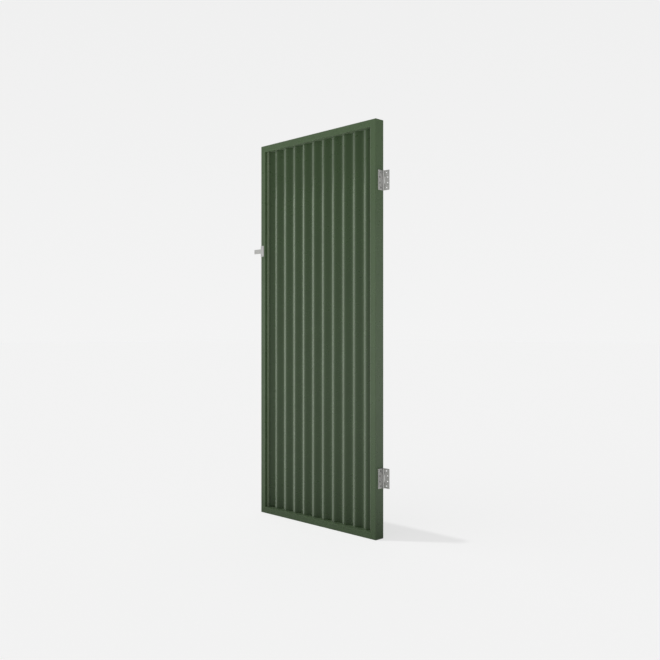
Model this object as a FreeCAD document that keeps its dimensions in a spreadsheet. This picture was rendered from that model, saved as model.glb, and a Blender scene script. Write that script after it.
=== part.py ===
"""Corrugated steel gate leaf in a tube frame, with two butt hinges and a latch tongue.

The frame is four mitred rectangular tubes. A corrugated sheet stands in it on end, between
four steel angles behind it and a flat bead in front of each side edge. Two rolled-knuckle
butt hinges carry the gate on its right stile, and a T-shaped tongue on its left stile
reaches past the edge to the catch.

+X runs from the latch side to the hinge side, +Y from the front to the back, +Z up.
The origin is the middle of the lower post leaf's mounting face. Sizes are in millimetres.
"""
import FreeCAD, Part
import math
import os
import Sketcher

DOC = FreeCAD.newDocument("CorrugatedGate")
V = FreeCAD.Vector

# Driving dimensions
SIZES = [
    ("gate_height", 2100, "overall height of the frame"),
    ("gate_width", 880, "overall width of the frame"),
    ("tube_depth", 60, "frame tube, front to back"),
    ("tube_face", 35, "frame tube, width seen from the front"),
    ("tube_wall", 2, "frame tube wall"),
    ("tube_corner", 2, "outside corner radius of the frame tube"),
    ("sheet_gauge", 0.7, "corrugated sheet thickness"),
    ("sheet_pitch", 76, "crest to crest"),
    ("sheet_depth", 15, "crest to valley on the sheet's middle line"),
    ("sheet_slope", 31, "steepest angle of the corrugation, degrees"),
    ("sheet_centre", 30, "sheet's middle plane behind the frame's front face"),
    ("sheet_gap", 1, "clearance from the sheet's edges to the frame"),
    ("first_valley", 43, "hinge stile's outer face to the first valley"),
    ("angle_leg", 20, "leg of the angles behind the sheet"),
    ("angle_wall", 2, "thickness of those angles"),
    ("angle_seat", 0.2, "gap between the sheet and the angles"),
    ("angle_joint", 0.5, "gap where two angles meet, and at the ends of a bead"),
    ("bead_face", 14, "bead in front of the sheet's side edges, width seen from the front"),
    ("bead_depth", 8, "that bead, front to back"),
    ("hinge_height", 100, "height of a hinge leaf"),
    ("hinge_leaf", 35, "pin axis to the free edge of a leaf"),
    ("hinge_inset", 303, "gate end to the middle of a hinge"),
    ("hinge_set", 1, "post leaf's mounting face ahead of the frame's back"),
    ("leaf_wall", 2.5, "thickness of a hinge leaf"),
    ("leaf_corner", 2, "corner radius of a leaf"),
    ("pin_offset", 6, "mounting face to the pin axis"),
    ("knuckle_clear", 0.3, "knuckles kept in from the plane of the mounting face"),
    ("knuckle_count", 3, "knuckles on one hinge, an odd number"),
    ("knuckle_gap", 0.4, "end gap between neighbouring knuckles"),
    ("knuckle_relief", 0.5, "gap round a knuckle in the other leaf's notch"),
    ("knuckle_seam", 0.6, "open seam where the rolled end meets its leaf"),
    ("pin_play", 0.05, "radial clearance of the pin in the knuckles"),
    ("pin_chamfer", 0.6, "chamfer on the pin's ends"),
    ("screw_hole", 6.5, "diameter of the screw holes"),
    ("screw_sink", 11, "diameter of their countersinks"),
    ("hole_near", 16, "pin axis to the outer pair of holes"),
    ("hole_far", 23, "pin axis to the inner pair of holes"),
    ("hole_margin", 12, "leaf's end to the outer pair of holes"),
    ("inner_pair", 28, "spacing of the inner pair"),
    ("tongue_wall", 3, "thickness of the latch tongue"),
    ("tongue_bar", 25, "width of the tongue and of its plate"),
    ("tongue_plate", 62, "height of the tongue's plate"),
    ("tongue_reach", 57, "how far the tongue stands past the stile"),
    ("tongue_level", 1498, "middle of the tongue above the gate's bottom"),
    ("tongue_corner", 3, "corner radius of the tongue and plate"),
]

sheet = DOC.addObject("Spreadsheet::Sheet", "Sizes")
size = {}
for row, (alias, number, meaning) in enumerate(SIZES, start=1):
    sheet.set(f"A{row}", alias)
    sheet.set(f"B{row}", str(number))
    sheet.setAlias(f"B{row}", alias)
    sheet.set(f"C{row}", meaning)
    size[alias] = number
DOC.recompute()

# Places worked out from the sizes, as expressions on the sheet

PIN_X = "(-(Sizes.hole_near + Sizes.hole_far) / 2)"
PIN_Y = "(-Sizes.pin_offset)"
SIDE_X = f"({PIN_X} - Sizes.pin_offset)"
FRONT_Y = "(Sizes.hinge_set - Sizes.tube_depth)"
FOOT_Z = "(-Sizes.hinge_inset)"
TOP_Z = "(Sizes.gate_height - Sizes.hinge_inset)"
LATCH_X = f"({SIDE_X} - Sizes.gate_width)"


def add_body(label):
    body = DOC.addObject("PartDesign::Body", label)
    body.Label = label
    return body


def place(body, x="0", y="0", z="0", axis=(0, 0, 1), angle=0):
    """Turns a body about an axis and binds its position to the sheet."""
    body.Placement = FreeCAD.Placement(V(0, 0, 0), FreeCAD.Rotation(V(*axis), angle))
    for name, expression in (("x", x), ("y", y), ("z", z)):
        body.setExpression(f"Placement.Base.{name}", expression)


def add_sketch(body, role, name):
    sketch = body.newObject("Sketcher::SketchObject", name)
    origin = body.Origin.OriginFeatures
    sketch.AttachmentSupport = [(next(f for f in origin if f.Role == role), "")]
    sketch.MapMode = "FlatFace"
    return sketch


def pin_point(sketch, geometry, point, x, y):
    """Holds one point of the sketch at a place given by two expressions."""
    for kind, expression in (("DistanceX", x), ("DistanceY", y)):
        index = sketch.addConstraint(Sketcher.Constraint(kind, -1, 1, geometry, point, 1.0))
        sketch.setExpression(f"Constraints[{index}]", expression)


DRAWN_RADIUS = 100


def add_polygon(sketch, corners):
    """A closed outline whose corners are pairs of expressions. It is drawn on a circle first."""
    count = len(corners)
    turn = 2 * math.pi / count
    spots = [V(math.cos(i * turn), math.sin(i * turn), 0) * DRAWN_RADIUS for i in range(count)]
    lines = [sketch.addGeometry(Part.LineSegment(spots[i], spots[(i + 1) % count]), False)
             for i in range(count)]
    for i, line in enumerate(lines):
        sketch.addConstraint(Sketcher.Constraint("Coincident", line, 2, lines[(i + 1) % count], 1))
    for line, (x, y) in zip(lines, corners):
        pin_point(sketch, line, 1, x, y)


def add_box_outline(sketch, left, low, right, high):
    add_polygon(sketch, [(left, low), (right, low), (right, high), (left, high)])


def add_circle(sketch, x, y, radius):
    drawn = Part.Circle(V(DRAWN_RADIUS, DRAWN_RADIUS, 0), V(0, 0, 1), DRAWN_RADIUS)
    circle = sketch.addGeometry(drawn, False)
    pin_point(sketch, circle, 3, x, y)
    index = sketch.addConstraint(Sketcher.Constraint("Radius", circle, drawn.Radius))
    sketch.setExpression(f"Constraints[{index}]", radius)


def add_pad(body, sketch, length, centred=False):
    pad = body.newObject("PartDesign::Pad", "Pad")
    pad.Profile = sketch
    pad.setExpression("Length", length)
    if centred:
        pad.SideType = "Symmetric"
    sketch.Visibility = False
    DOC.recompute()
    return pad


def add_pocket(body, sketch):
    """Cuts the sketch right through, both ways from its plane."""
    before = body.Tip.Shape.Volume
    pocket = body.newObject("PartDesign::Pocket", "Pocket")
    pocket.Profile = sketch
    pocket.SideType = "Two sides"
    pocket.Type = "ThroughAll"
    pocket.Type2 = "ThroughAll"
    sketch.Visibility = False
    DOC.recompute()
    if pocket.Shape.Volume >= before:
        raise RuntimeError(f"{sketch.Label} of {body.Label} cuts nothing")
    return pocket


def add_pattern(body, feature, sketch, step, count):
    """Repeats a feature upwards along the sketch's vertical axis."""
    pattern = body.newObject("PartDesign::LinearPattern", "LinearPattern")
    pattern.Originals = [feature]
    pattern.Direction = (sketch, ["V_Axis"])
    pattern.Mode = "Spacing"
    pattern.setExpression("Offset", step)
    pattern.Occurrences = count
    body.Tip = pattern
    DOC.recompute()


def edges_along(shape, axis, length):
    """Names the straight edges that run along an axis for a given length."""
    names = []
    for number, edge in enumerate(shape.Edges, start=1):
        run = edge.Vertexes[-1].Point - edge.Vertexes[0].Point
        if abs(abs(run.dot(axis)) - length) < 1e-4 and abs(run.Length - length) < 1e-4:
            names.append(f"Edge{number}")
    return names


def add_fillet(body, base, edges, radius):
    fillet = body.newObject("PartDesign::Fillet", "Fillet")
    fillet.Base = (base, edges)
    fillet.setExpression("Radius", radius)
    DOC.recompute()


# Frame tubes
# Each runs up its own Z axis with its outer face on X = 0, and is cut at 45 degrees at both
# ends. The four go round the frame a quarter turn apart, so the mitres meet at the corners.

def add_frame_tube(label, length_alias, x, z, turn):
    body = add_body(label)
    section = add_sketch(body, "XY_Plane", "OuterSection")
    add_box_outline(section, "0", "0", "Sizes.tube_face", "Sizes.tube_depth")
    length = f"Sizes.{length_alias}"
    pad = add_pad(body, section, length)
    corners = edges_along(pad.Shape, V(0, 0, 1), size[length_alias])
    add_fillet(body, pad, corners, "Sizes.tube_corner")

    hollow = add_sketch(body, "XY_Plane", "InnerSection")
    wall = "Sizes.tube_wall"
    add_box_outline(hollow, wall, wall, f"Sizes.tube_face - {wall}", f"Sizes.tube_depth - {wall}")
    add_pocket(body, hollow)

    mitres = add_sketch(body, "XZ_Plane", "Mitres")
    face = "Sizes.tube_face"
    add_polygon(mitres, [("0", "0"), (face, "0"), (face, face)])
    add_polygon(mitres, [("0", length), (face, length), (face, f"{length} - {face}")])
    add_pocket(body, mitres)
    place(body, x, FRONT_Y, z, axis=(0, 1, 0), angle=turn)


# Angles behind the sheet
# One leg lies on the frame's inside, the other stands behind the sheet. The top and bottom
# ones run from stile to stile, and the side ones stand between them.

ANGLE_Y = (f"{FRONT_Y} + Sizes.sheet_centre + (Sizes.sheet_depth + Sizes.sheet_gauge) / 2"
           " + Sizes.angle_seat")


def add_angle(label, length, x, z, turn):
    body = add_body(label)
    section = add_sketch(body, "XY_Plane", "Section")
    leg, wall = "Sizes.angle_leg", "Sizes.angle_wall"
    add_polygon(section, [("0", "0"), (leg, "0"), (leg, wall), (wall, wall), (wall, leg), ("0", leg)])
    add_pad(body, section, length)
    place(body, x, ANGLE_Y, z, axis=(0, 1, 0), angle=turn)


INSIDE_LEFT = f"{LATCH_X} + Sizes.tube_face"
INSIDE_RIGHT = f"{SIDE_X} - Sizes.tube_face"
INSIDE_FOOT = f"{FOOT_Z} + Sizes.tube_face"
INSIDE_TOP = f"{TOP_Z} - Sizes.tube_face"
ANGLE_STEP = "(Sizes.angle_leg + Sizes.angle_joint)"
CLEAR_WIDTH = "(Sizes.gate_width - 2 * Sizes.tube_face)"
SIDE_ANGLE = f"(Sizes.gate_height - 2 * Sizes.tube_face - 2 * {ANGLE_STEP})"

add_frame_tube("latch_stile", "gate_height", LATCH_X, FOOT_Z, 0)
add_frame_tube("top_rail", "gate_width", LATCH_X, TOP_Z, 90)
add_frame_tube("hinge_stile", "gate_height", SIDE_X, TOP_Z, 180)
add_frame_tube("bottom_rail", "gate_width", SIDE_X, FOOT_Z, 270)
add_angle("latch_side_angle", SIDE_ANGLE, INSIDE_LEFT, f"{INSIDE_FOOT} + {ANGLE_STEP}", 0)
add_angle("top_angle", CLEAR_WIDTH, INSIDE_LEFT, INSIDE_TOP, 90)
add_angle("hinge_side_angle", SIDE_ANGLE, INSIDE_RIGHT, f"{INSIDE_TOP} - {ANGLE_STEP}", 180)
add_angle("bottom_angle", CLEAR_WIDTH, INSIDE_RIGHT, INSIDE_FOOT, 270)


# Beads in front of the sheet
# A flat steel bar on the inside of each stile, just ahead of the sheet's crests. It covers
# the sheet's side edge, and runs from rail to rail.

BEAD_Y = (f"{FRONT_Y} + Sizes.sheet_centre - (Sizes.sheet_depth + Sizes.sheet_gauge) / 2"
          " - Sizes.angle_seat - Sizes.bead_depth")


def add_bead(label, x):
    body = add_body(label)
    section = add_sketch(body, "XY_Plane", "Section")
    add_box_outline(section, "0", "0", "Sizes.bead_face", "Sizes.bead_depth")
    add_pad(body, section, "Sizes.gate_height - 2 * (Sizes.tube_face + Sizes.angle_joint)")
    place(body, x, BEAD_Y, f"{INSIDE_FOOT} + Sizes.angle_joint")


add_bead("latch_side_bead", INSIDE_LEFT)
add_bead("hinge_side_bead", f"{INSIDE_RIGHT} - Sizes.bead_face")


# Corrugated sheet
# Crests and valleys are arcs of one bend radius joined by straight flanks. X = 0 is the
# first valley from the hinge stile, nearest the back, and Y = 0 the sheet's middle plane.
# The waves run past the frame's inside on both sides, and the sheet is then trimmed.

def sheet_face(offset, waves):
    """One face of the sheet as arcs and flanks, offset from the middle line towards +Y."""
    slope = math.radians(size["sheet_slope"])
    half_pitch = size["sheet_pitch"] / 2
    depth = size["sheet_depth"]
    bend = (half_pitch * math.sin(slope) - depth * math.cos(slope)) / (2 * (1 - math.cos(slope)))
    pieces = []
    for step in range(waves):
        side = -1 if step % 2 == 0 else 1
        centre = V((1 - step) * half_pitch, side * (depth / 2 - bend), 0)
        radius = bend + side * offset
        reach = radius * math.sin(slope)
        rise = side * radius * math.cos(slope)
        start = centre + V(reach, rise, 0)
        end = centre + V(-reach, rise, 0)
        if pieces:
            pieces.append(Part.LineSegment(pieces[-1].EndPoint, start))
        pieces.append(Part.Arc(start, centre + V(0, side * radius, 0), end))
    return pieces


def add_corrugated_sheet():
    body = add_body("corrugated_sheet")
    clear = size["gate_width"] - 2 * size["tube_face"]
    waves = math.ceil(2 * clear / size["sheet_pitch"]) + 4
    half = size["sheet_gauge"] / 2
    front = sheet_face(-half, waves)
    back = sheet_face(half, waves)
    profile = add_sketch(body, "XY_Plane", "Corrugations")
    ends = [Part.LineSegment(front[0].StartPoint, back[0].StartPoint),
            Part.LineSegment(front[-1].EndPoint, back[-1].EndPoint)]
    profile.addGeometry(front + back + ends, False)
    add_pad(body, profile, "Sizes.gate_height - 2 * (Sizes.tube_face + Sizes.sheet_gap)")

    trim = add_sketch(body, "XY_Plane", "Edges")
    over = "2 * Sizes.sheet_pitch"
    right = "(Sizes.first_valley - Sizes.tube_face - Sizes.sheet_gap)"
    left = f"({right} - Sizes.gate_width + 2 * (Sizes.tube_face + Sizes.sheet_gap))"
    add_box_outline(trim, right, f"-({over})", f"{right} + {over}", over)
    add_box_outline(trim, f"{left} - {over}", f"-({over})", left, over)
    add_pocket(body, trim)
    place(body, f"{SIDE_X} - Sizes.first_valley", f"{FRONT_Y} + Sizes.sheet_centre",
          f"{INSIDE_FOOT} + Sizes.sheet_gap")


add_corrugated_sheet()


# Hinges
# A leaf stands on its own Z axis, which is the pin. Its plate runs along +X with the
# mounting face at Y = pin_offset, and its end is rolled round the pin. The gate leaf is
# the same pressing turned over, with knuckles where the post leaf has notches.

KNUCKLE = "(Sizes.hinge_height / Sizes.knuckle_count)"
BARREL = "(Sizes.pin_offset - Sizes.knuckle_clear)"
BORE = f"({BARREL} - Sizes.leaf_wall)"


def add_hinge_leaf(label, first_notch, notches):
    body = add_body(label)
    plate = add_sketch(body, "XY_Plane", "Plate")
    inner_face = "(Sizes.pin_offset - Sizes.leaf_wall)"
    add_box_outline(plate, "0", inner_face, "Sizes.hinge_leaf", "Sizes.pin_offset")
    pad = add_pad(body, plate, "Sizes.hinge_height", centred=True)
    outer = [name for name in edges_along(pad.Shape, V(0, 1, 0), size["leaf_wall"])
             if pad.Shape.getElement(name).CenterOfMass.x > size["hinge_leaf"] / 2]
    add_fillet(body, pad, outer, "Sizes.leaf_corner")

    barrel = add_sketch(body, "XY_Plane", "Barrel")
    add_circle(barrel, "0", "0", BARREL)
    add_pad(body, barrel, "Sizes.hinge_height", centred=True)
    bore = add_sketch(body, "XY_Plane", "Bore")
    add_circle(bore, "0", "0", BORE)
    add_pocket(body, bore)

    seam = add_sketch(body, "XY_Plane", "Seam")
    add_box_outline(seam, "0", f"{inner_face} - Sizes.knuckle_seam", BARREL, inner_face)
    add_pocket(body, seam)

    notch = add_sketch(body, "XZ_Plane", "Notch")
    reach = f"({BARREL} + Sizes.knuckle_relief)"
    low = f"({first_notch} * {KNUCKLE} - Sizes.hinge_height / 2 - Sizes.knuckle_gap / 2)"
    add_box_outline(notch, f"-{reach}", low, reach, f"{low} + {KNUCKLE} + Sizes.knuckle_gap")
    cut = add_pocket(body, notch)
    if notches > 1:
        add_pattern(body, cut, notch, f"2 * {KNUCKLE}", notches)

    drill = add_sketch(body, "XZ_Plane", "Holes")
    pairs = [("Sizes.hole_near", "(Sizes.hinge_height / 2 - Sizes.hole_margin)"),
             ("Sizes.hole_far", "(Sizes.inner_pair / 2)")]
    for distance, level in pairs:
        for side in ("", "-"):
            add_circle(drill, distance, side + level, "Sizes.screw_hole / 2")
    add_pocket(body, drill)
    return body


def add_countersinks(body):
    """Opens the holes towards the leaf's front face, at 90 degrees."""
    drilled = body.Tip
    middle = size["pin_offset"] - size["leaf_wall"] / 2
    names = [f"Edge{number}" for number, edge in enumerate(drilled.Shape.Edges, start=1)
             if edge.Curve.TypeId == "Part::GeomCircle"
             and abs(edge.Curve.Radius - size["screw_hole"] / 2) < 1e-6
             and edge.CenterOfMass.y < middle]
    sink = body.newObject("PartDesign::Chamfer", "Countersinks")
    sink.Base = (drilled, names)
    sink.setExpression("Size", "(Sizes.screw_sink - Sizes.screw_hole) / 2")
    DOC.recompute()


def add_hinge_pin(label):
    body = add_body(label)
    section = add_sketch(body, "XY_Plane", "Section")
    add_circle(section, "0", "0", f"{BORE} - Sizes.pin_play")
    pad = add_pad(body, section, "Sizes.hinge_height", centred=True)
    rims = [f"Edge{number}" for number, edge in enumerate(pad.Shape.Edges, start=1)
            if edge.Curve.TypeId == "Part::GeomCircle"]
    ends = body.newObject("PartDesign::Chamfer", "Ends")
    ends.Base = (pad, rims)
    ends.setExpression("Size", "Sizes.pin_chamfer")
    DOC.recompute()
    return body


post_knuckles = (size["knuckle_count"] + 1) // 2
gate_knuckles = size["knuckle_count"] - post_knuckles
upper_z = "(Sizes.gate_height - 2 * Sizes.hinge_inset)"
for name, level in (("lower", "0"), ("upper", upper_z)):
    post_leaf = add_hinge_leaf(f"{name}_post_leaf", 1, gate_knuckles)
    add_countersinks(post_leaf)
    place(post_leaf, PIN_X, PIN_Y, level)
    gate_leaf = add_hinge_leaf(f"{name}_gate_leaf", 0, post_knuckles)
    add_countersinks(gate_leaf)
    place(gate_leaf, PIN_X, PIN_Y, level)
    turned_over = FreeCAD.Rotation(V(1, 0, 0), 180)
    to_the_stile = FreeCAD.Rotation(V(0, 0, 1), -90)
    gate_leaf.Placement.Rotation = to_the_stile * turned_over
    place(add_hinge_pin(f"{name}_hinge_pin"), PIN_X, PIN_Y, level)


# Latch tongue
# One T-shaped plate on the latch stile's front face, its upright flush with the outer edge.

def add_latch_tongue():
    body = add_body("latch_tongue")
    outline = add_sketch(body, "XZ_Plane", "Outline")
    tip = "-Sizes.tongue_reach"
    bar = "Sizes.tongue_bar"
    half_bar = "Sizes.tongue_bar / 2"
    half_plate = "Sizes.tongue_plate / 2"
    add_polygon(outline, [(tip, f"-{half_bar}"), ("0", f"-{half_bar}"), ("0", f"-{half_plate}"),
                          (bar, f"-{half_plate}"), (bar, half_plate), ("0", half_plate),
                          ("0", half_bar), (tip, half_bar)])
    pad = add_pad(body, outline, "Sizes.tongue_wall")
    corners = edges_along(pad.Shape, V(0, 1, 0), size["tongue_wall"])
    add_fillet(body, pad, corners, "Sizes.tongue_corner")
    place(body, LATCH_X, FRONT_Y, f"{FOOT_Z} + Sizes.tongue_level")


add_latch_tongue()

# Check every object, then write one file for each piece
DOC.recompute()
for item in DOC.Objects:
    if "Invalid" in item.State or "Error" in item.State:
        raise RuntimeError(f"{item.Label} failed: {item.State}")
os.makedirs("parts", exist_ok=True)
for body in [item for item in DOC.Objects if item.TypeId == "PartDesign::Body"]:
    shape = body.Shape
    if shape.isNull() or not shape.isValid() or len(shape.Solids) != 1:
        raise RuntimeError(f"{body.Label} is not one valid solid")
    shape.exportStep(f"parts/{body.Label}.step")
    box = shape.BoundBox
    print(f"{body.Label:20s} volume {shape.Volume:12.1f}  x {box.XMin:8.2f} {box.XMax:8.2f}"
          f"  y {box.YMin:7.2f} {box.YMax:7.2f}  z {box.ZMin:8.2f} {box.ZMax:8.2f}")
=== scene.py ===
import math

import bmesh
import bpy
from mathutils import Matrix, Vector


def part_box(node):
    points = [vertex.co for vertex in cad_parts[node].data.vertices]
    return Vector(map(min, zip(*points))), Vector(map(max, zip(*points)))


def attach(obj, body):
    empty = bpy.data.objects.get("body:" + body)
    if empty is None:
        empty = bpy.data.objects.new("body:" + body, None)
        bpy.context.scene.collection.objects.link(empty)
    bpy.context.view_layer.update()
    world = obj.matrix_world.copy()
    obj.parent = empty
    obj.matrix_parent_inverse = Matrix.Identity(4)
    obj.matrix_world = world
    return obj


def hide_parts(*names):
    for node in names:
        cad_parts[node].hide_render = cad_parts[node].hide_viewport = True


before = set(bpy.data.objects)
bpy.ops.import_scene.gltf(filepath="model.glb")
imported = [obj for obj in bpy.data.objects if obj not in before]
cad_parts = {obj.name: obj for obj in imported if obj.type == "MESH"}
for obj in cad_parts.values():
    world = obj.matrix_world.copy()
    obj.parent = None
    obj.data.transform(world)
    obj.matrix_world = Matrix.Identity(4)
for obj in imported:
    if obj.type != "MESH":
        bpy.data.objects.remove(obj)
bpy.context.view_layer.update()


# Camera
# It stands level with the middle of the gate, to the right of the hinge side, and looks
# across the front at 45 degrees, so that the gate's face runs away to the left.

CAMERA_BESIDE = 2.6414
CAMERA_IN_FRONT = 2.9614
CAMERA_BELOW_MIDDLE = 0.0034
LEVEL = math.radians(90)
LOOK_ACROSS = math.radians(45)
SENSOR_WIDTH = 36
LENS = 43.456

gate_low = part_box("latch_stile")[0]
gate_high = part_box("hinge_stile")[1]
camera = bpy.data.objects.new("camera", bpy.data.cameras.new("camera"))
bpy.context.scene.collection.objects.link(camera)
camera.data.sensor_width = SENSOR_WIDTH
camera.data.lens = LENS
camera.location = (gate_high.x + CAMERA_BESIDE, gate_low.y - CAMERA_IN_FRONT,
                   (gate_low.z + gate_high.z) / 2 - CAMERA_BELOW_MIDDLE)
camera.rotation_euler = (LEVEL, 0, LOOK_ACROSS)
bpy.context.scene.camera = camera


# Frame tubes
# Four rectangular steel tubes, mitred and welded at the corners, then powder coated a dark
# green. The coat has a fine orange peel, varies a little and is dusty at a low angle.

GREEN = (0.064, 0.109, 0.046)
COAT_SPREAD = 0.10
COAT_ROUGHNESS = 0.30
GLOSS_SPREAD = 0.06
DRIFTS_PER_METRE = 5
GLOSS_PATCHES_PER_METRE = 22
PATCH_DETAIL = 3
PATCH_LOW = 0.2
PATCH_HIGH = 0.8
PEEL_SIZE = 0.0018
PEEL_HEIGHT = 0.00002
PEEL_DETAIL = 2
PEEL_STRENGTH = 0.5
LACQUER_IOR = 1.5
TUBE_DUST = 0.15
DUST_ROUGHNESS = 0.41
DUST_TINT = (0.90, 1.0, 0.84)


def powder_coat(name, colour, roughness, dust, peel_size=PEEL_SIZE, peel_height=PEEL_HEIGHT):
    """A painted steel finish: slow colour drift, orange peel and uneven gloss."""
    coat = bpy.data.materials.new(name)
    coat.use_nodes = True
    nodes, links = coat.node_tree.nodes, coat.node_tree.links
    shader = nodes["Principled BSDF"]
    shader.inputs["IOR"].default_value = LACQUER_IOR
    shader.inputs["Sheen Weight"].default_value = dust
    shader.inputs["Sheen Roughness"].default_value = DUST_ROUGHNESS
    shader.inputs["Sheen Tint"].default_value = (*DUST_TINT, 1)
    place = nodes.new("ShaderNodeTexCoord")

    drift = nodes.new("ShaderNodeTexNoise")
    drift.inputs["Scale"].default_value = DRIFTS_PER_METRE
    drift.inputs["Detail"].default_value = PATCH_DETAIL
    tint = nodes.new("ShaderNodeMix")
    tint.data_type = "RGBA"
    tint.inputs[6].default_value = (*[c * (1 - COAT_SPREAD) for c in colour], 1)
    tint.inputs[7].default_value = (*[c * (1 + COAT_SPREAD) for c in colour], 1)
    links.new(place.outputs["Object"], drift.inputs["Vector"])
    links.new(drift.outputs["Fac"], tint.inputs[0])
    links.new(tint.outputs[2], shader.inputs["Base Color"])

    gloss = nodes.new("ShaderNodeTexNoise")
    gloss.inputs["Scale"].default_value = GLOSS_PATCHES_PER_METRE
    gloss.inputs["Detail"].default_value = PATCH_DETAIL
    span = nodes.new("ShaderNodeMapRange")
    span.interpolation_type = "SMOOTHSTEP"
    span.inputs["From Min"].default_value = PATCH_LOW
    span.inputs["From Max"].default_value = PATCH_HIGH
    span.inputs["To Min"].default_value = roughness - GLOSS_SPREAD
    span.inputs["To Max"].default_value = roughness + GLOSS_SPREAD
    links.new(place.outputs["Object"], gloss.inputs["Vector"])
    links.new(gloss.outputs["Fac"], span.inputs["Value"])
    links.new(span.outputs["Result"], shader.inputs["Roughness"])

    peel = nodes.new("ShaderNodeTexNoise")
    peel.inputs["Scale"].default_value = 1 / peel_size
    peel.inputs["Detail"].default_value = PEEL_DETAIL
    bump = nodes.new("ShaderNodeBump")
    bump.inputs["Strength"].default_value = PEEL_STRENGTH
    bump.inputs["Distance"].default_value = peel_height
    links.new(place.outputs["Object"], peel.inputs["Vector"])
    links.new(peel.outputs["Fac"], bump.inputs["Height"])
    links.new(bump.outputs["Normal"], shader.inputs["Normal"])
    return coat


def finish_nodes(names, material):
    """Gives CAD nodes their finish through their material slots."""
    for name in names:
        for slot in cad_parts[name].material_slots:
            slot.material = material


green_coat = powder_coat("green_powder_coat", GREEN, COAT_ROUGHNESS, TUBE_DUST)
finish_nodes(("latch_stile", "top_rail", "hinge_stile", "bottom_rail"), green_coat)


# Mitre welds
# Each corner of the frame is welded along its mitre, front and back, and dressed almost
# flush before coating, so that only a soft low ridge is left under the paint.

TUBE_FACE = 0.035
TUBE_CORNER = 0.002
MITRE = math.radians(45)
RIDGE_HALF_WIDTH = 0.0028
RIDGE_FLATNESS = 0.09
RIDGE_RIPPLE = 0.12
RIPPLE_STEP = 0.0032
WELD_STEPS = 72
WELD_SIDES = 16
BLUNTEST_END = 0.08
SHARP_FROM = math.radians(35)


def node_input(tree, name, value, kind="Float"):
    """A named input of a tree; gives back the identifier that sets it."""
    socket = tree.interface.new_socket(name=name, in_out="INPUT", socket_type="NodeSocket" + kind)
    if value is not None:
        socket.default_value = value
    return socket.identifier


def chain(tree, operation, a, b=None):
    """One maths node; a and b are sockets or numbers."""
    node = tree.nodes.new("ShaderNodeMath")
    node.operation = operation
    for slot, value in enumerate((a, b)):
        if value is None:
            continue
        if isinstance(value, (int, float)):
            node.inputs[slot].default_value = value
        else:
            tree.links.new(value, node.inputs[slot])
    return node.outputs[0]


def finish_tree(tree, geometry, material):
    """Ends a tree: real geometry, its material, then the output."""
    tree.interface.new_socket(name="Geometry", in_out="OUTPUT", socket_type="NodeSocketGeometry")
    realize = tree.nodes.new("GeometryNodeRealizeInstances")
    tree.links.new(geometry, realize.inputs[0])
    painted = tree.nodes.new("GeometryNodeSetMaterial")
    painted.inputs["Material"].default_value = material
    tree.links.new(realize.outputs[0], painted.inputs["Geometry"])
    leave = tree.nodes.new("NodeGroupOutput")
    tree.links.new(painted.outputs[0], leave.inputs["Geometry"])


def grown(name, mesh, tree, values):
    """An object with the tree's result as its modifier, and the tree's inputs set."""
    obj = bpy.data.objects.new(name, mesh)
    bpy.context.scene.collection.objects.link(obj)
    modifier = obj.modifiers.new("grow", "NODES")
    modifier.node_group = tree
    for identifier, value in values.items():
        modifier[identifier] = value
    return obj


def settled(obj, name):
    """Turns an object and its modifiers into one plain mesh with crisp edges kept sharp."""
    depsgraph = bpy.context.evaluated_depsgraph_get()
    mesh = bpy.data.meshes.new_from_object(obj.evaluated_get(depsgraph))
    bpy.data.objects.remove(obj)
    finish = [material for material in mesh.materials if material]
    mesh.materials.clear()
    for material in finish:
        mesh.materials.append(material)
    mesh.polygons.foreach_set("material_index", [0] * len(mesh.polygons))
    mesh.shade_smooth()
    mesh.set_sharp_from_angle(angle=SHARP_FROM)
    piece = bpy.data.objects.new(name, mesh)
    bpy.context.scene.collection.objects.link(piece)
    return piece


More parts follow.
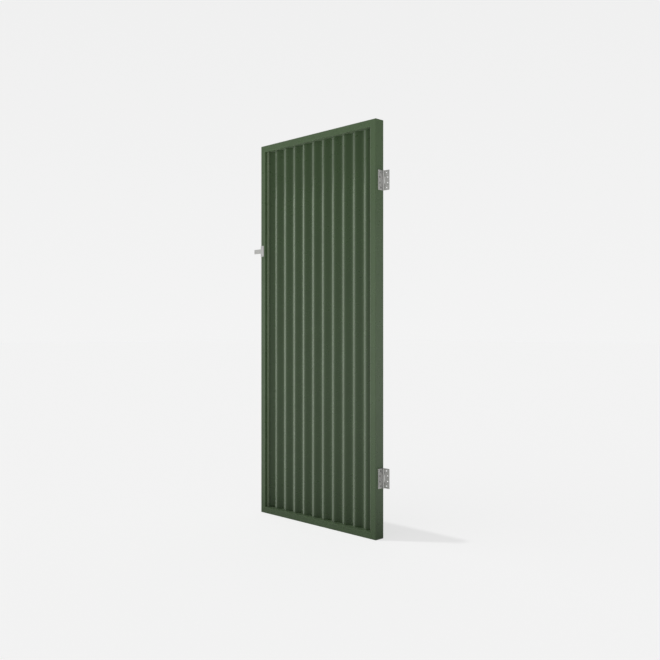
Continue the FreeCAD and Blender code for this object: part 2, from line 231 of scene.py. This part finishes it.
def weld_run(name, length, half_width, flatness, ripple, material):
    """A weld along X: a rounded, rippled run, flattened in Z."""
    tree = bpy.data.node_groups.new(name, "GeometryNodeTree")
    labels = ("Length", "Half Width", "Flatness", "Ripple", "Step")
    ids = [node_input(tree, label, 1.0) for label in labels]
    given = tree.nodes.new("NodeGroupInput")
    line = tree.nodes.new("GeometryNodeCurvePrimitiveLine")
    for end, share in (("Start", -0.5), ("End", 0.5)):
        point = tree.nodes.new("ShaderNodeCombineXYZ")
        tree.links.new(chain(tree, "MULTIPLY", given.outputs["Length"], share), point.inputs["X"])
        tree.links.new(point.outputs[0], line.inputs[end])
    points = tree.nodes.new("GeometryNodeResampleCurve")
    points.inputs["Count"].default_value = WELD_STEPS
    tree.links.new(line.outputs[0], points.inputs["Curve"])
    along = tree.nodes.new("GeometryNodeSplineParameter").outputs["Length"]
    left = chain(tree, "SUBTRACT", given.outputs["Length"], along)
    to_end = chain(tree, "DIVIDE", chain(tree, "MINIMUM", along, left), given.outputs["Half Width"])
    short = chain(tree, "MINIMUM", to_end, 1.0)
    arc = chain(tree, "MULTIPLY", short, chain(tree, "SUBTRACT", 2.0, short))
    round_end = chain(tree, "MAXIMUM", chain(tree, "SQRT", arc), BLUNTEST_END)
    phase = chain(tree, "MULTIPLY", chain(tree, "DIVIDE", along, given.outputs["Step"]), 2 * math.pi)
    dip = chain(tree, "MULTIPLY", chain(tree, "SUBTRACT", 1.0, chain(tree, "COSINE", phase)), 0.5)
    swell = chain(tree, "SUBTRACT", 1.0, chain(tree, "MULTIPLY", dip, given.outputs["Ripple"]))
    ring = tree.nodes.new("GeometryNodeCurvePrimitiveCircle")
    ring.inputs["Resolution"].default_value = WELD_SIDES
    tree.links.new(given.outputs["Half Width"], ring.inputs["Radius"])
    skin = tree.nodes.new("GeometryNodeCurveToMesh")
    skin.inputs["Fill Caps"].default_value = True
    tree.links.new(points.outputs[0], skin.inputs["Curve"])
    tree.links.new(ring.outputs["Curve"], skin.inputs["Profile Curve"])
    tree.links.new(chain(tree, "MULTIPLY", round_end, swell), skin.inputs["Scale"])
    press = tree.nodes.new("GeometryNodeTransform")
    squash = tree.nodes.new("ShaderNodeCombineXYZ")
    squash.inputs["X"].default_value = 1
    squash.inputs["Y"].default_value = 1
    tree.links.new(given.outputs["Flatness"], squash.inputs["Z"])
    tree.links.new(skin.outputs[0], press.inputs["Geometry"])
    tree.links.new(squash.outputs[0], press.inputs["Scale"])
    finish_tree(tree, press.outputs[0], material)
    values = dict(zip(ids, (length, half_width, flatness, ripple, RIPPLE_STEP)))
    return settled(grown(name, bpy.data.meshes.new(name), tree, values), name)


def repeated(name, unit, spots, material, body):
    """Stands a copy of a unit on every spot: a place, the way its +Z faces, and its spin."""
    host = bpy.data.meshes.new(name)
    host.from_pydata([spot[0] for spot in spots], [], [])
    host.attributes.new("facing", "FLOAT_VECTOR", "POINT")
    host.attributes.new("spin", "FLOAT", "POINT")
    for index, spot in enumerate(spots):
        host.attributes["facing"].data[index].vector = spot[1]
        host.attributes["spin"].data[index].value = spot[2]

    tree = bpy.data.node_groups.new(name, "GeometryNodeTree")
    node_input(tree, "Geometry", None, "Geometry")
    unit_id = node_input(tree, "Unit", None, "Object")
    size_id = node_input(tree, "Size", 1.0)
    given = tree.nodes.new("NodeGroupInput")
    read = {}
    for label, kind in (("facing", "FLOAT_VECTOR"), ("spin", "FLOAT")):
        read[label] = tree.nodes.new("GeometryNodeInputNamedAttribute")
        read[label].data_type = kind
        read[label].inputs["Name"].default_value = label
    face = tree.nodes.new("FunctionNodeAlignRotationToVector")
    face.axis = "Z"
    tree.links.new(read["facing"].outputs["Attribute"], face.inputs["Vector"])
    turn = tree.nodes.new("FunctionNodeAxisAngleToRotation")
    tree.links.new(read["spin"].outputs["Attribute"], turn.inputs["Angle"])
    both = tree.nodes.new("FunctionNodeRotateRotation")
    both.rotation_space = "LOCAL"
    tree.links.new(face.outputs[0], both.inputs["Rotation"])
    tree.links.new(turn.outputs[0], both.inputs["Rotate By"])
    shape = tree.nodes.new("GeometryNodeObjectInfo")
    tree.links.new(given.outputs["Unit"], shape.inputs["Object"])
    stand = tree.nodes.new("GeometryNodeInstanceOnPoints")
    tree.links.new(given.outputs["Geometry"], stand.inputs["Points"])
    tree.links.new(shape.outputs["Geometry"], stand.inputs["Instance"])
    tree.links.new(both.outputs[0], stand.inputs["Rotation"])
    tree.links.new(given.outputs["Size"], stand.inputs["Scale"])
    finish_tree(tree, stand.outputs[0], material)
    piece = settled(grown(name, host, tree, {unit_id: unit, size_id: 1.0}), name)
    bpy.data.objects.remove(unit)
    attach(piece, body)
    return piece


ridge_spots = []
for x, to_right in ((gate_low.x, 1), (gate_high.x, -1)):
    for z, upward in ((gate_low.z, 1), (gate_high.z, -1)):
        middle = (x + to_right * TUBE_FACE / 2, z + upward * TUBE_FACE / 2)
        slant = MITRE * to_right * upward
        ridge_spots.append(((middle[0], gate_low.y, middle[1]), (0, -1, 0), slant))
        ridge_spots.append(((middle[0], gate_high.y, middle[1]), (0, 1, 0), -slant))
ridge_length = (TUBE_FACE - 2 * TUBE_CORNER) * math.sqrt(2)
ridge = weld_run("ridge", ridge_length, RIDGE_HALF_WIDTH, RIDGE_FLATNESS, RIDGE_RIPPLE, green_coat)
repeated("mitre_welds", ridge, ridge_spots, green_coat, "gate_leaf")


# Angles behind the sheet
# Thin rolled angles inside the frame, which carry the corrugated sheet. They have the
# frame's own finish, and are held by short welds along their back edges.

TACK_LENGTH = 0.022
TACK_HALF_WIDTH = 0.0018
TACK_FLATNESS = 0.8
TACK_RIPPLE = 0.22
TACK_SPACING = 0.36
STILE_TACK_INSET = 0.04
RAIL_TACK_INSET = 0.05
ANGLE_WALL = 0.002
UPRIGHT = math.radians(90)


def along_seam(start, end, inset):
    """Places of the tack welds along one seam, evenly spread between its insets."""
    count = round((end - start) / TACK_SPACING)
    reach = end - start - 2 * inset
    return [start + inset + reach * step / count for step in range(count + 1)]


finish_nodes(("latch_side_angle", "top_angle", "hinge_side_angle", "bottom_angle"), green_coat)
tack_spots = []
for name, inward in (("latch_side_angle", 1), ("hinge_side_angle", -1)):
    low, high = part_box(name)
    seam_x = (low.x if inward > 0 else high.x) + inward * ANGLE_WALL / 2
    for z in along_seam(low.z, high.z, STILE_TACK_INSET):
        tack_spots.append(((seam_x, high.y, z), (0, 1, 0), UPRIGHT))
for name, inward in (("bottom_angle", 1), ("top_angle", -1)):
    low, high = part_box(name)
    seam_z = (low.z if inward > 0 else high.z) + inward * ANGLE_WALL / 2
    for x in along_seam(low.x, high.x, RAIL_TACK_INSET):
        tack_spots.append(((x, high.y, seam_z), (0, 1, 0), 0))
tack = weld_run("tack", TACK_LENGTH, TACK_HALF_WIDTH, TACK_FLATNESS, TACK_RIPPLE, green_coat)
repeated("angle_welds", tack, tack_spots, green_coat, "gate_leaf")


# Beads in front of the sheet
# A flat bar on the inside of each stile covers the sheet's side edge. Each is welded to
# the rails at its two ends. Its coat is the frame's green painted lighter: painted light
# for the light and reflection that its recessed front misses. Its end welds share it.

BEAD_PAINTED_LIGHT_GREEN = (0.145, 0.190, 0.118)
END_WELD_SHARE = 0.86
END_WELD_HALF_WIDTH = 0.0016
END_WELD_FLATNESS = 0.7
END_WELD_RIPPLE = 0.18

bead_painted_light_coat = powder_coat("bead_powder_coat_painted_light", BEAD_PAINTED_LIGHT_GREEN, COAT_ROUGHNESS, TUBE_DUST)
finish_nodes(("latch_side_bead", "hinge_side_bead"), bead_painted_light_coat)
end_spots = []
for name in ("latch_side_bead", "hinge_side_bead"):
    bead_low, bead_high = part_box(name)
    for z in (bead_low.z, bead_high.z):
        end_spots.append((((bead_low.x + bead_high.x) / 2, bead_low.y, z), (0, -1, 0), 0))
end_weld = weld_run("end_weld", (bead_high.x - bead_low.x) * END_WELD_SHARE, END_WELD_HALF_WIDTH,
                    END_WELD_FLATNESS, END_WELD_RIPPLE, bead_painted_light_coat)
repeated("bead_welds", end_weld, end_spots, bead_painted_light_coat, "gate_leaf")


# Corrugated sheet
# One roll-formed steel sheet, coil coated in a darker green, standing on end with its
# waves upright. A grid is bent to the wave by its nodes and then given its thickness.

SHEET_GREEN = (0.024, 0.057, 0.012)
SHEET_ROUGHNESS = 0.30
SHEET_DUST = 0.80
SHEET_PEEL_SIZE = 0.0026
SHEET_PEEL_HEIGHT = 0.00001
PITCH = 0.076
GAUGE = 0.0007
FIRST_VALLEY = 0.007
STEPS_PER_WAVE = 32
ROWS = 9

sheet_coat = powder_coat("sheet_coil_coat", SHEET_GREEN, SHEET_ROUGHNESS, SHEET_DUST,
                         SHEET_PEEL_SIZE, SHEET_PEEL_HEIGHT)
sheet_low, sheet_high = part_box("corrugated_sheet")
wave_tree = bpy.data.node_groups.new("bend_to_waves", "GeometryNodeTree")
labels = ("Width", "Height", "Pitch", "Depth", "Valley")
ids = {label: node_input(wave_tree, label, 1.0) for label in labels}
given = wave_tree.nodes.new("NodeGroupInput")
grid = wave_tree.nodes.new("GeometryNodeMeshGrid")
waves = (sheet_high.x - sheet_low.x) / PITCH
grid.inputs["Vertices X"].default_value = math.ceil(waves * STEPS_PER_WAVE) + 1
grid.inputs["Vertices Y"].default_value = ROWS
wave_tree.links.new(given.outputs["Width"], grid.inputs["Size X"])
wave_tree.links.new(given.outputs["Height"], grid.inputs["Size Y"])
spot = wave_tree.nodes.new("GeometryNodeInputPosition")
split = wave_tree.nodes.new("ShaderNodeSeparateXYZ")
wave_tree.links.new(spot.outputs[0], split.inputs[0])
from_valley = chain(wave_tree, "SUBTRACT", split.outputs["X"], given.outputs["Valley"])
turns = chain(wave_tree, "DIVIDE", from_valley, given.outputs["Pitch"])
phase = chain(wave_tree, "MULTIPLY", turns, 2 * math.pi)
height = chain(wave_tree, "MULTIPLY", chain(wave_tree, "COSINE", phase), given.outputs["Depth"])
half_height = chain(wave_tree, "MULTIPLY", height, 0.5)
bent = wave_tree.nodes.new("ShaderNodeCombineXYZ")
wave_tree.links.new(split.outputs["X"], bent.inputs["X"])
wave_tree.links.new(half_height, bent.inputs["Y"])
wave_tree.links.new(split.outputs["Y"], bent.inputs["Z"])
move = wave_tree.nodes.new("GeometryNodeSetPosition")
wave_tree.links.new(grid.outputs["Mesh"], move.inputs["Geometry"])
wave_tree.links.new(bent.outputs[0], move.inputs["Position"])
finish_tree(wave_tree, move.outputs[0], sheet_coat)

middle = (sheet_low + sheet_high) / 2
sheet_sizes = {"Width": sheet_high.x - sheet_low.x,
               "Height": sheet_high.z - sheet_low.z,
               "Pitch": PITCH,
               "Depth": sheet_high.y - sheet_low.y - GAUGE,
               "Valley": sheet_high.x - FIRST_VALLEY - middle.x}
blank = grown("blank", bpy.data.meshes.new("blank"), wave_tree,
              {ids[label]: value for label, value in sheet_sizes.items()})
wall = blank.modifiers.new("wall", "SOLIDIFY")
wall.thickness = GAUGE
wall.offset = 0
sheet = settled(blank, "corrugated_panel")
sheet.data.transform(Matrix.Translation(middle))
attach(sheet, "gate_leaf")
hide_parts("corrugated_sheet")


# Sheet rivets
# Every second valley is riveted to the top and bottom angles behind it, close to the rails.
# The heads are low domes in the sheet's colour, and the set tails show at the back.

RIVET_HEAD = 0.0042
RIVET_DOME = 0.0013
RIVET_SHANK = 0.002
RIVET_TAIL = 0.0031
TAIL_THICKNESS = 0.0024
TAIL_ROUNDING = 0.0006
TAIL_FLARE = 0.0003
TAIL_FLAT = 0.8
SHEET_CLEARANCE = 0.0002
CLEAR_OF_EDGE = 0.02


def lathe(name, profile, steps=32):
    """A closed body turned round Z from (radius, height) pairs that start and end on the axis."""
    edit = bmesh.new()
    rings = []
    for radius, height in profile:
        turns = [2 * math.pi * i / steps for i in range(steps)] if radius > 0 else [0]
        places = [(radius * math.cos(turn), radius * math.sin(turn), height) for turn in turns]
        rings.append([edit.verts.new(place) for place in places])
    for low, high in zip(rings, rings[1:]):
        for i in range(steps):
            corners = [low[i % len(low)], low[(i + 1) % len(low)],
                       high[(i + 1) % len(high)], high[i % len(high)]]
            edit.faces.new(list(dict.fromkeys(corners)))
    bmesh.ops.recalc_face_normals(edit, faces=edit.faces)
    mesh = bpy.data.meshes.new(name)
    edit.to_mesh(mesh)
    edit.free()
    body = bpy.data.objects.new(name, mesh)
    bpy.context.scene.collection.objects.link(body)
    return body


def dome(radius, height, base, count=6):
    """Profile of a low dome from its rim up to the axis."""
    angles = [math.radians(90) * i / count for i in range(count + 1)]
    return [(radius * math.cos(a) if i < count else 0, base + height * math.sin(a))
            for i, a in enumerate(angles)]


grip = ANGLE_WALL + GAUGE + SHEET_CLEARANCE
tail_end = -(grip + TAIL_THICKNESS)
tail = [(0, tail_end), (RIVET_TAIL * TAIL_FLAT, tail_end), (RIVET_TAIL, tail_end + TAIL_ROUNDING),
        (RIVET_TAIL, -grip - TAIL_FLARE)]
shank = [(RIVET_SHANK, -grip), (RIVET_SHANK, 0)]
rivet = lathe("rivet", tail + shank + dome(RIVET_HEAD, RIVET_DOME, 0.0))
rivet_spots = []
valley = sheet_high.x - FIRST_VALLEY
while valley > sheet_low.x + CLEAR_OF_EDGE:
    for name in ("bottom_angle", "top_angle"):
        low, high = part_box(name)
        rivet_spots.append(((valley, sheet_high.y - GAUGE, (low.z + high.z) / 2), (0, -1, 0), 0))
    valley -= 2 * PITCH
repeated("sheet_rivets", rivet, rivet_spots, sheet_coat, "gate_leaf")


# Hinges
# Two steel butt hinges, zinc plated and dull. Each has a leaf screwed to the stile, a leaf
# for the post with its holes open, and a plain pin through the rolled knuckles.

ZINC = (0.58, 0.58, 0.56)
ZINC_ROUGHNESS = 0.42
METAL_SHARE = 0.45
CLOUDS_PER_METRE = 90
CLOUD_DETAIL = 8
CLOUD_GRAIN = 0.65
CLOUD_LOW = 0.3
CLOUD_HIGH = 0.7
DARK_CLOUD = 0.8
PALE_CLOUD = 1.15
SMOOTHER = 0.08
ROUGHER = 0.12


def zinc_plate(name, colour, roughness):
    """Dull plated steel: cloudy in colour and gloss, part metal and part its own oxide film."""
    plate = bpy.data.materials.new(name)
    plate.use_nodes = True
    nodes, links = plate.node_tree.nodes, plate.node_tree.links
    shader = nodes["Principled BSDF"]
    shader.inputs["Metallic"].default_value = METAL_SHARE
    place = nodes.new("ShaderNodeTexCoord")
    cloud = nodes.new("ShaderNodeTexNoise")
    cloud.inputs["Scale"].default_value = CLOUDS_PER_METRE
    cloud.inputs["Detail"].default_value = CLOUD_DETAIL
    cloud.inputs["Roughness"].default_value = CLOUD_GRAIN
    tint = nodes.new("ShaderNodeMix")
    tint.data_type = "RGBA"
    tint.inputs[6].default_value = (*[c * DARK_CLOUD for c in colour], 1)
    tint.inputs[7].default_value = (*[c * PALE_CLOUD for c in colour], 1)
    links.new(place.outputs["Object"], cloud.inputs["Vector"])
    links.new(cloud.outputs["Fac"], tint.inputs[0])
    links.new(tint.outputs[2], shader.inputs["Base Color"])
    span = nodes.new("ShaderNodeMapRange")
    span.inputs["From Min"].default_value = CLOUD_LOW
    span.inputs["From Max"].default_value = CLOUD_HIGH
    span.inputs["To Min"].default_value = roughness - SMOOTHER
    span.inputs["To Max"].default_value = roughness + ROUGHER
    links.new(cloud.outputs["Fac"], span.inputs["Value"])
    links.new(span.outputs["Result"], shader.inputs["Roughness"])
    return plate


zinc = zinc_plate("zinc_plate", ZINC, ZINC_ROUGHNESS)
for level in ("lower", "upper"):
    finish_nodes((f"{level}_post_leaf", f"{level}_gate_leaf", f"{level}_hinge_pin"), zinc)


# Gate leaf screws
# Four countersunk cross-recess screws hold each gate leaf to the stile's side. The post
# leaves are empty, because the gate is shown off its post.

SCREW_HEAD = 0.0053
SCREW_RIM = 0.0001
SCREW_DOME = 0.0003
SCREW_SHANK = 0.0029
SCREW_LENGTH = 0.010
SCREW_END = 0.0015
SCREW_END_SHARE = 0.7
LEAF_WALL = 0.0025
RECESS_LENGTH = 0.0060
RECESS_WIDTH = 0.0011
RECESS_DEPTH = 0.0017
RECESS_TAPER = 0.45
SCREW_GREY = (0.34, 0.34, 0.33)
SCREW_ROUGHNESS = 0.36
FIRST_TURN = 20
TURN_STEP = 67
UPPER_TURN = 11
HOLES = ((0.016, 0.038), (0.016, -0.038), (0.023, 0.014), (0.023, -0.014))

shank = [(0, -SCREW_LENGTH), (SCREW_SHANK * SCREW_END_SHARE, -SCREW_LENGTH),
         (SCREW_SHANK, SCREW_END - SCREW_LENGTH), (SCREW_SHANK, SCREW_SHANK - SCREW_HEAD)]
screw = lathe("screw", shank + [(SCREW_HEAD, -SCREW_RIM)] + dome(SCREW_HEAD, SCREW_DOME, 0.0, 3)[1:])
edit = bmesh.new()
for turn in (0, math.radians(90)):
    made = bmesh.ops.create_cube(edit, size=1)["verts"]
    bmesh.ops.scale(edit, verts=made, vec=(RECESS_LENGTH, RECESS_WIDTH, 2 * RECESS_DEPTH))
    for vert in made:
        if vert.co.z < 0:
            vert.co.x *= RECESS_TAPER
    bmesh.ops.rotate(edit, verts=made, matrix=Matrix.Rotation(turn, 3, "Z"))
recess_mesh = bpy.data.meshes.new("recess")
edit.to_mesh(recess_mesh)
edit.free()
recess = bpy.data.objects.new("recess", recess_mesh)
bpy.context.scene.collection.objects.link(recess)
cut = screw.modifiers.new("recess", "BOOLEAN")
cut.operation = "DIFFERENCE"
cut.object = recess
cut.use_self = True
screw = settled(screw, "screw")
bpy.data.objects.remove(recess)

screw_spots = []
for level in ("lower", "upper"):
    leaf_low, leaf_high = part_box(f"{level}_gate_leaf")
    pin_low, pin_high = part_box(f"{level}_hinge_pin")
    axis_y = (pin_low.y + pin_high.y) / 2
    middle_z = (leaf_low.z + leaf_high.z) / 2
    for number, (along, up) in enumerate(HOLES):
        place = (leaf_low.x + LEAF_WALL, axis_y - along, middle_z + up)
        turn = FIRST_TURN + TURN_STEP * number + (UPPER_TURN if level == "upper" else 0)
        screw_spots.append((place, (1, 0, 0), math.radians(turn)))
screw_steel = zinc_plate("screw_steel", SCREW_GREY, SCREW_ROUGHNESS)
repeated("leaf_screws", screw, screw_spots, screw_steel, "gate_leaf")


# Latch tongue
# A T-shaped steel plate, zinc plated, fixed flat on the latch stile's front face by two
# low domed rivets of the same finish.

TONGUE_RIVET = 0.0045
TONGUE_RIVET_DOME = 0.0012
TONGUE_RIVET_SHANK = 0.0022
TONGUE_RIVET_LENGTH = 0.009
TONGUE_RIVET_PAIR = 0.044
TONGUE_BAR = 0.025

finish_nodes(("latch_tongue",), zinc)
tongue_low, tongue_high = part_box("latch_tongue")
shank = [(0, -TONGUE_RIVET_LENGTH), (TONGUE_RIVET_SHANK, -TONGUE_RIVET_LENGTH), (TONGUE_RIVET_SHANK, 0)]
tongue_rivet = lathe("tongue_rivet", shank + dome(TONGUE_RIVET, TONGUE_RIVET_DOME, 0.0))
tongue_spots = []
for side in (-0.5, 0.5):
    z = (tongue_low.z + tongue_high.z) / 2 + side * TONGUE_RIVET_PAIR
    tongue_spots.append(((tongue_high.x - TONGUE_BAR / 2, tongue_low.y, z), (0, -1, 0), 0))
repeated("tongue_rivets", tongue_rivet, tongue_spots, zinc, "gate_leaf")


# Floor and light
# A plain pale studio. The floor and the background show the same pale grey. The light is
# soft and low, much of it comes up off the floor, and a weak high sun casts the shadow.
# Where the floor lights the gate or shows in its reflections, it is painted darker near the
# gate's foot: a pool of painted shade, which the camera doesn't see on the floor itself.

PALE = 0.89
PALE_LOW = 0.900
PALE_HIGH = 0.862
HIGH_AT = 0.5
FLOOR_REACH = 60
FLOOR_GLOW = 1.15
FLOOR_BOUNCE = 0.95
FLOOR_LIFT = 0.85
# The floor's painted shade by the gate: its level at the gate's foot and how far it reaches.
FLOOR_PAINTED_SHADE_NEAR = 0.30
FLOOR_PAINTED_SHADE_REACH = 1.1
SHADOW_SHARE = 0.42
SOFT_LIGHT = 1.10
HIGH_LIGHT = 0.28
HIGH_FROM = 0.26
SIDE_LEAN = 0.86
LEAN_FROM = Vector((-1, -1, 0)).normalized()
SUN = 0.9
SUN_WIDTH = math.radians(1.5)
SUN_FROM = Vector((-0.158, -0.125, 1.0))

floor_mesh = bpy.data.meshes.new("floor")
edit = bmesh.new()
bmesh.ops.create_grid(edit, x_segments=1, y_segments=1, size=FLOOR_REACH)
bmesh.ops.translate(edit, verts=edit.verts, vec=(0, 0, gate_low.z))
edit.to_mesh(floor_mesh)
edit.free()
floor = bpy.data.objects.new("floor", floor_mesh)
bpy.context.scene.collection.objects.link(floor)


def picture_rays(tree):
    """Two switches, 1 for the rays they name: the camera's own, and those or mirrored ones."""
    path = tree.nodes.new("ShaderNodeLightPath")
    glossy, through = path.outputs["Is Glossy Ray"], path.outputs["Is Transmission Ray"]
    mirrored = chain(tree, "MAXIMUM", glossy, through)
    camera_ray = path.outputs["Is Camera Ray"]
    return camera_ray, chain(tree, "MAXIMUM", camera_ray, mirrored)


def blend(tree, share, low, high):
    """low where share is 0, high where it is 1."""
    node = tree.nodes.new("ShaderNodeMapRange")
    for socket, value in (("Value", share), ("To Min", low), ("To Max", high)):
        if isinstance(value, (int, float)):
            node.inputs[socket].default_value = value
        else:
            tree.links.new(value, node.inputs[socket])
    return node.outputs["Result"]


ground = bpy.data.materials.new("pale_floor")
ground.use_nodes = True
tree = ground.node_tree
tree.nodes.clear()
camera_ray, seen_ray = picture_rays(tree)
place = tree.nodes.new("ShaderNodeTexCoord")
split = tree.nodes.new("ShaderNodeSeparateXYZ")
tree.links.new(place.outputs["Object"], split.inputs[0])
# Painted shade: the floor that lights and mirrors into the gate is darkened near the gate's foot and
# fades back to full level with distance.
half_width = (gate_high.x - gate_low.x) / 2
aside = chain(tree, "ABSOLUTE", chain(tree, "SUBTRACT", split.outputs["X"], gate_low.x + half_width))
past_end = chain(tree, "MAXIMUM", chain(tree, "SUBTRACT", aside, half_width), 0.0)
squares = chain(tree, "ADD", chain(tree, "MULTIPLY", past_end, past_end),
                chain(tree, "MULTIPLY", split.outputs["Y"], split.outputs["Y"]))
away = chain(tree, "SQRT", squares)
far = chain(tree, "DIVIDE", away, chain(tree, "ADD", away, FLOOR_PAINTED_SHADE_REACH))
painted_floor_shade = blend(tree, far, FLOOR_PAINTED_SHADE_NEAR, 1.0)
showing = blend(tree, camera_ray, painted_floor_shade, 1.0)
shown = tree.nodes.new("ShaderNodeEmission")
shaded = tree.nodes.new("ShaderNodeBsdfDiffuse")
seen = tree.nodes.new("ShaderNodeMixShader")
seen.inputs[0].default_value = SHADOW_SHARE
tree.links.new(chain(tree, "MULTIPLY", showing, FLOOR_GLOW), shown.inputs["Color"])
tree.links.new(chain(tree, "MULTIPLY", showing, PALE), shaded.inputs["Color"])
tree.links.new(shown.outputs[0], seen.inputs[1])
tree.links.new(shaded.outputs[0], seen.inputs[2])
bounced = tree.nodes.new("ShaderNodeBsdfDiffuse")
tree.links.new(chain(tree, "MULTIPLY", painted_floor_shade, FLOOR_BOUNCE), bounced.inputs["Color"])
lifted = tree.nodes.new("ShaderNodeEmission")
tree.links.new(chain(tree, "MULTIPLY", painted_floor_shade, FLOOR_LIFT), lifted.inputs["Strength"])
upward = tree.nodes.new("ShaderNodeAddShader")
tree.links.new(bounced.outputs[0], upward.inputs[0])
tree.links.new(lifted.outputs[0], upward.inputs[1])
pick = tree.nodes.new("ShaderNodeMixShader")
tree.links.new(seen_ray, pick.inputs[0])
tree.links.new(upward.outputs[0], pick.inputs[1])
tree.links.new(seen.outputs[0], pick.inputs[2])
out = tree.nodes.new("ShaderNodeOutputMaterial")
tree.links.new(pick.outputs[0], out.inputs["Surface"])
floor_mesh.materials.append(ground)

world = bpy.data.worlds.new("studio")
world.use_nodes = True
bpy.context.scene.world = world
tree = world.node_tree
tree.nodes.clear()
camera_ray, seen_ray = picture_rays(tree)
place = tree.nodes.new("ShaderNodeTexCoord")
split = tree.nodes.new("ShaderNodeSeparateXYZ")
tree.links.new(place.outputs["Generated"], split.inputs[0])
glow = tree.nodes.new("ShaderNodeMapRange")
glow.inputs["From Max"].default_value = HIGH_FROM
glow.inputs["To Min"].default_value = 1.0
glow.inputs["To Max"].default_value = HIGH_LIGHT
tree.links.new(split.outputs["Z"], glow.inputs["Value"])
lean = tree.nodes.new("ShaderNodeVectorMath")
lean.operation = "DOT_PRODUCT"
lean.inputs[1].default_value = SIDE_LEAN * LEAN_FROM
tree.links.new(place.outputs["Generated"], lean.inputs[0])
leaning = chain(tree, "ADD", lean.outputs["Value"], 1.0)
falloff = chain(tree, "MULTIPLY", glow.outputs["Result"], leaning)
soft = chain(tree, "MULTIPLY", falloff, SOFT_LIGHT)
paler = tree.nodes.new("ShaderNodeMapRange")
paler.inputs["From Max"].default_value = HIGH_AT
paler.inputs["To Min"].default_value = PALE_LOW
paler.inputs["To Max"].default_value = PALE_HIGH
tree.links.new(split.outputs["Z"], paler.inputs["Value"])
mirrored_level = chain(tree, "MULTIPLY", glow.outputs["Result"], PALE)
shown_level = blend(tree, camera_ray, mirrored_level, paler.outputs["Result"])
sky = tree.nodes.new("ShaderNodeBackground")
sky.inputs["Color"].default_value = (1, 1, 1, 1)
tree.links.new(blend(tree, seen_ray, soft, shown_level), sky.inputs["Strength"])
out = tree.nodes.new("ShaderNodeOutputWorld")
tree.links.new(sky.outputs[0], out.inputs["Surface"])

sun = bpy.data.objects.new("sun", bpy.data.lights.new("sun", "SUN"))
bpy.context.scene.collection.objects.link(sun)
sun.data.energy = SUN
sun.data.angle = SUN_WIDTH
sun.rotation_mode = "QUATERNION"
sun.rotation_quaternion = SUN_FROM.to_track_quat("Z", "Y")

bpy.context.scene.view_settings.view_transform = "Standard"
